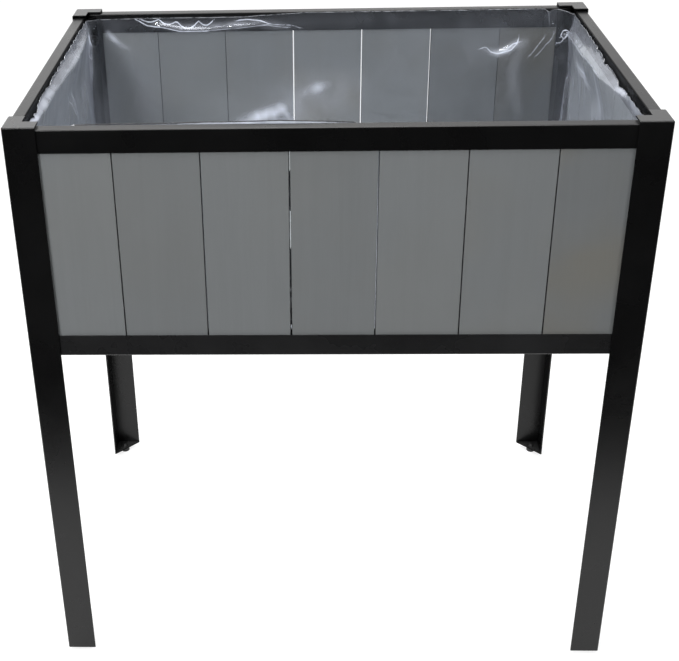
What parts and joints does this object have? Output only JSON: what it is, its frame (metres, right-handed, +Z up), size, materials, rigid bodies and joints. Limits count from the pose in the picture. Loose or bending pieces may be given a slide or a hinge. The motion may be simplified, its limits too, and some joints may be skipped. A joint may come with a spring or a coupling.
{
  "type": "raised planter on legs",
  "caption": "Rectangular raised planter box with loose upright boards in a channel rail frame on angle legs, with a film liner.",
  "frame": {"origin": "on the floor, below the middle of the planter", "axes": "+Z up, +X to the right along the long front, +Y from the front to the back"},
  "size_m": [0.76, 0.52, 0.8],
  "materials": {
    "frame_steel": "satin black powder coat",
    "board": "matt grey stain on smooth boards",
    "glide_plastic": "matt black",
    "zinc_fastener": "zinc plated",
    "liner_film": "clear glossy film"
  },
  "bodies": {
    "root": {"front_left_leg": "frame_steel", "front_left_foot_glide": "glide_plastic", "front_left_corner_plate": "frame_steel", "front_right_leg": "frame_steel", "front_right_foot_glide": "glide_plastic", "front_right_corner_plate": "frame_steel", "back_left_leg": "frame_steel", "back_left_foot_glide": "glide_plastic", "back_left_corner_plate": "frame_steel", "back_right_leg": "frame_steel", "back_right_foot_glide": "glide_plastic", "back_right_corner_plate": "frame_steel", "front_top_rail": "frame_steel", "front_bottom_rail": "frame_steel", "back_top_rail": "frame_steel", "back_bottom_rail": "frame_steel", "left_top_rail": "frame_steel", "left_bottom_rail": "frame_steel", "right_top_rail": "frame_steel", "right_bottom_rail": "frame_steel", "front_board_1": "board", "front_board_2": "board", "front_board_3": "board", "front_board_4": "board", "front_board_5": "board", "front_board_6": "board", "front_board_7": "board", "back_board_1": "board", "back_board_2": "board", "back_board_3": "board", "back_board_4": "board", "back_board_5": "board", "back_board_6": "board", "back_board_7": "board", "left_board_1": "board", "left_board_2": "board", "left_board_3": "board", "left_board_4": "board", "left_board_5": "board", "right_board_1": "board", "right_board_2": "board", "right_board_3": "board", "right_board_4": "board", "right_board_5": "board", "floor_bar_1": "frame_steel", "floor_bar_2": "frame_steel", "floor_bar_3": "frame_steel", "floor_board_1": "board", "floor_board_2": "board", "floor_board_3": "board", "floor_board_4": "board", "floor_board_5": "board", "corner_studs": "zinc_fastener", "corner_washers": "zinc_fastener", "corner_nuts": "zinc_fastener", "floor_bar_bolts": "zinc_fastener", "floor_bar_nuts": "zinc_fastener", "liner": "liner_film"}
  },
  "joints": []
}
